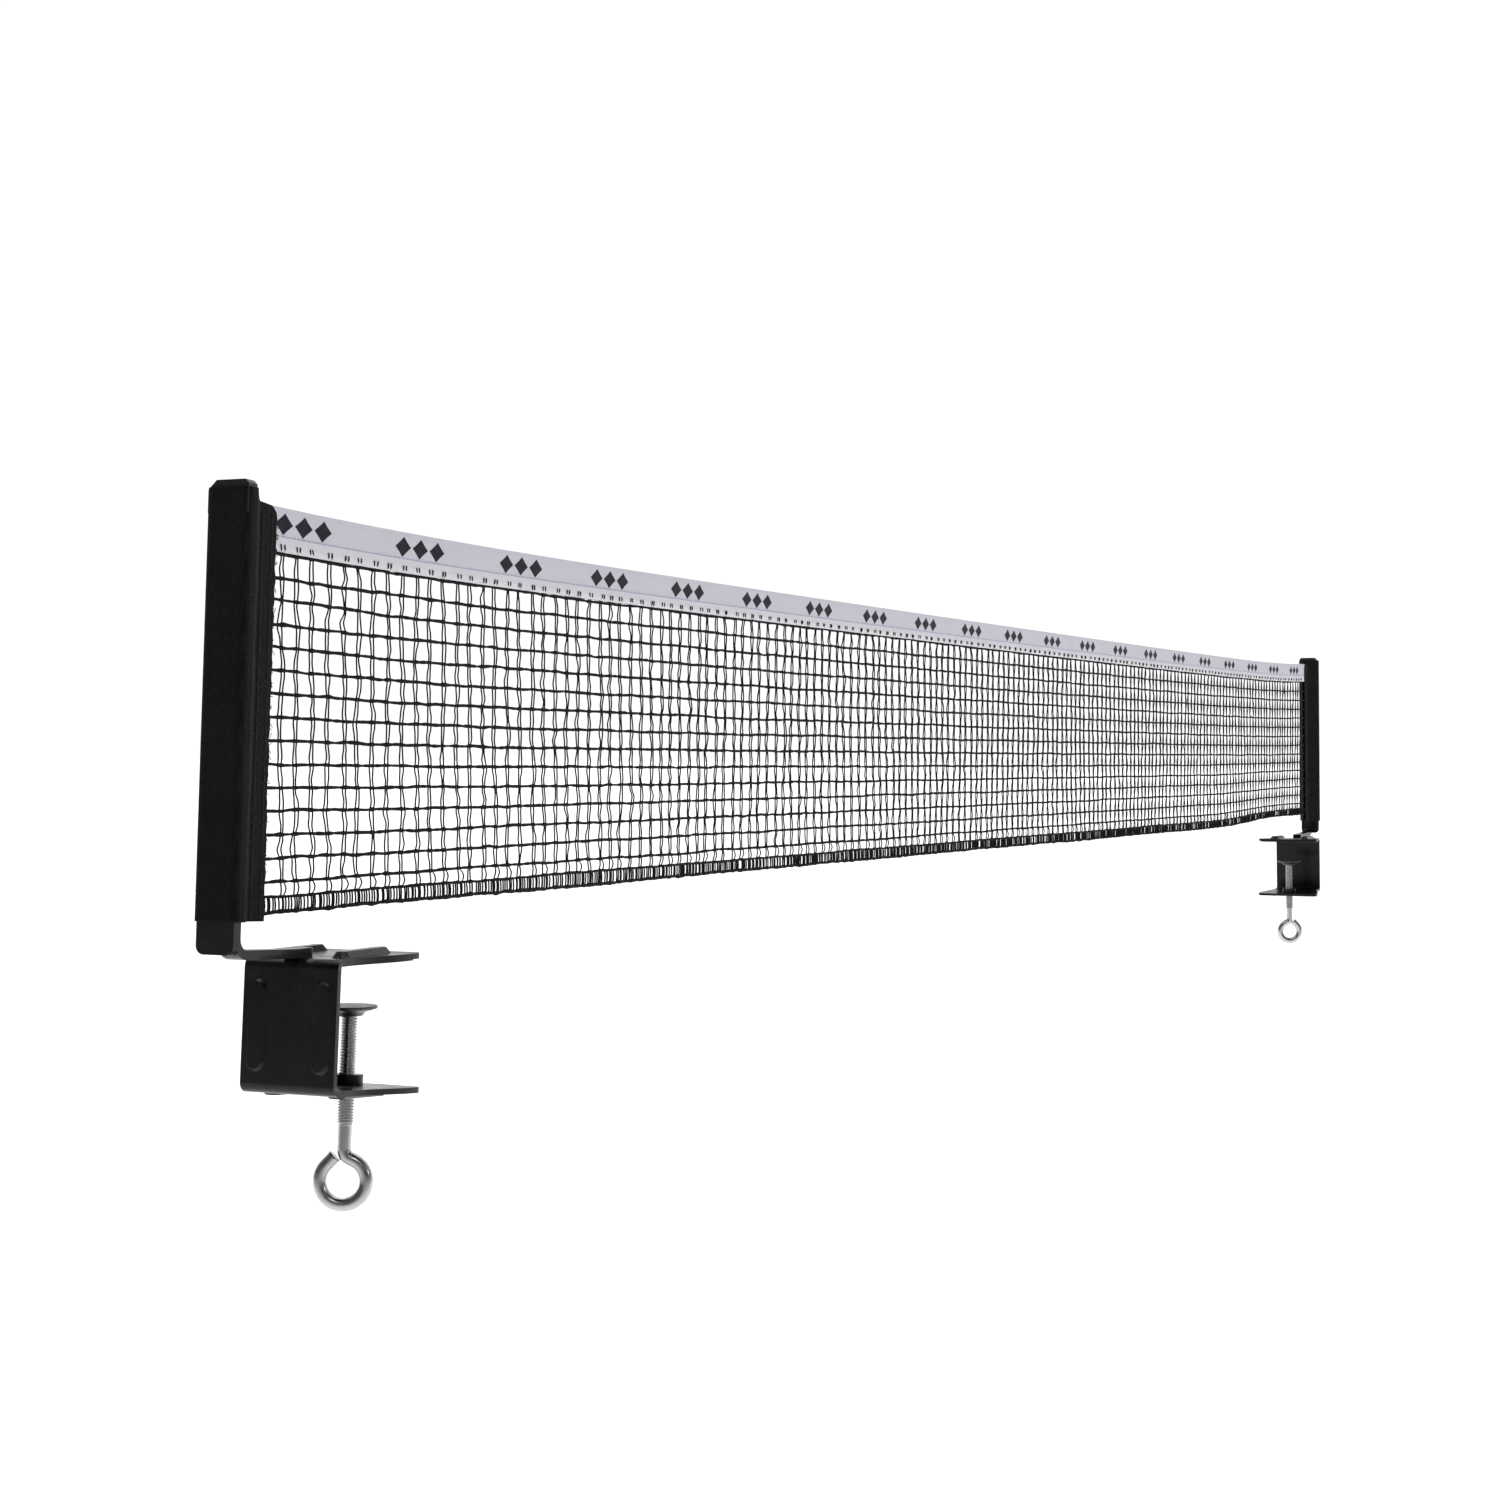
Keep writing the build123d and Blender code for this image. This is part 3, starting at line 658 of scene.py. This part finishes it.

# ---- studio: a pale floor that glows as painted light, which also lights the pieces from below, and a surround, both brighter ahead of the camera than behind it, and soft lights
FLOOR_Z = -0.60
FLOOR_REACH = 400.0
floor_mesh = bpy.data.meshes.new("floor")
square = [(-1, -1), (1, -1), (1, 1), (-1, 1)]
floor_corners = [(SPAN / 2 + x * FLOOR_REACH, y * FLOOR_REACH, FLOOR_Z) for x, y in square]
floor_mesh.from_pydata(floor_corners, [], [(0, 1, 2, 3)])
floor = bpy.data.objects.new("floor", floor_mesh)
bpy.context.scene.collection.objects.link(floor)
glowing_floor_look = Nodes("floor_pale_glowing", (0.86, 0.86, 0.86), 0.9)
glowing_floor_look.colors(glowing_floor_look.span(glowing_floor_look.noise(3, 3), 0.0, 1.0), (0.86, 0.86, 0.86), (0.88, 0.88, 0.88))
# Painted light: the floor has its own emission, strongest ahead of the camera, so it glows like a lamp.
glowing_floor_look.shader.inputs["Emission Color"].default_value = (1, 1, 1, 1)
split = glowing_floor_look.tree.nodes.new("ShaderNodeSeparateXYZ")
glowing_floor_look.wire(glowing_floor_look.place, split.inputs[0])
ahead = glowing_floor_look.math("MULTIPLY", split.outputs["X"], view_x)
ahead = glowing_floor_look.math("ADD", ahead, glowing_floor_look.math("MULTIPLY", split.outputs["Y"], view_y))
glow = glowing_floor_look.span(ahead, 0.20, 0.9, -1.6, 0.7)
glowing_floor_look.wire(glow, glowing_floor_look.shader.inputs["Emission Strength"])
floor_mesh.materials.append(glowing_floor_look.material)

world = bpy.data.worlds.new("studio")
bpy.context.scene.world = world
world.use_nodes = True
wt = world.node_tree
background = wt.nodes["Background"]
direction = wt.nodes.new("ShaderNodeTexCoord").outputs["Generated"]
facing = wt.nodes.new("ShaderNodeVectorMath")
facing.operation = "DOT_PRODUCT"
facing.inputs[1].default_value = (view_x, view_y, 0)
wt.links.new(direction, facing.inputs[0])
level = wt.nodes.new("ShaderNodeMapRange")
level.interpolation_type = "SMOOTHSTEP"
level.inputs["From Min"].default_value = 0.0
level.inputs["From Max"].default_value = 0.7
level.inputs["To Min"].default_value = 0.12
level.inputs["To Max"].default_value = 1.05
wt.links.new(facing.outputs["Value"], level.inputs["Value"])
wt.links.new(level.outputs["Result"], background.inputs["Strength"])
background.inputs["Color"].default_value = (1, 1, 1, 1)


def softbox(name, place, target, size, power):
    """A square area light that faces a point."""
    lamp = bpy.data.lights.new(name, "AREA")
    lamp.size = size
    lamp.energy = power
    holder = bpy.data.objects.new(name, lamp)
    holder.location = place
    holder.rotation_euler = (Vector(target) - Vector(place)).to_track_quat("-Z", "Y").to_euler()
    bpy.context.scene.collection.objects.link(holder)


softbox("key", (-1.1, -0.9, 1.1), (0, 0, 0.05), 0.5, 1.8)
softbox("top", (0.5, 0.3, 2.6), (0.5, 0, 0), 3.0, 45)
softbox("side", (0.2, -1.6, 0.5), (0.1, 0, 0), 0.3, 1.4)

camera_data = bpy.data.cameras.new("camera")
camera_data.sensor_width = 36.0
camera_data.lens = CAMERA_LENS
camera_data.clip_start = 0.01
camera = bpy.data.objects.new("camera", camera_data)
forward = Vector((view_x * math.cos(CAMERA_PITCH), view_y * math.cos(CAMERA_PITCH), math.sin(CAMERA_PITCH)))
flat_right = Vector((view_y, -view_x, 0))
flat_up = flat_right.cross(forward)
right = math.cos(CAMERA_ROLL) * flat_right + math.sin(CAMERA_ROLL) * flat_up
above = math.cos(CAMERA_ROLL) * flat_up - math.sin(CAMERA_ROLL) * flat_right
directions = Matrix((right, above, -forward)).transposed()
camera.matrix_world = Matrix.Translation(CAMERA_PLACE) @ directions.to_4x4()
bpy.context.scene.collection.objects.link(camera)
bpy.context.scene.camera = camera
bpy.context.scene.view_settings.view_transform = "Standard"
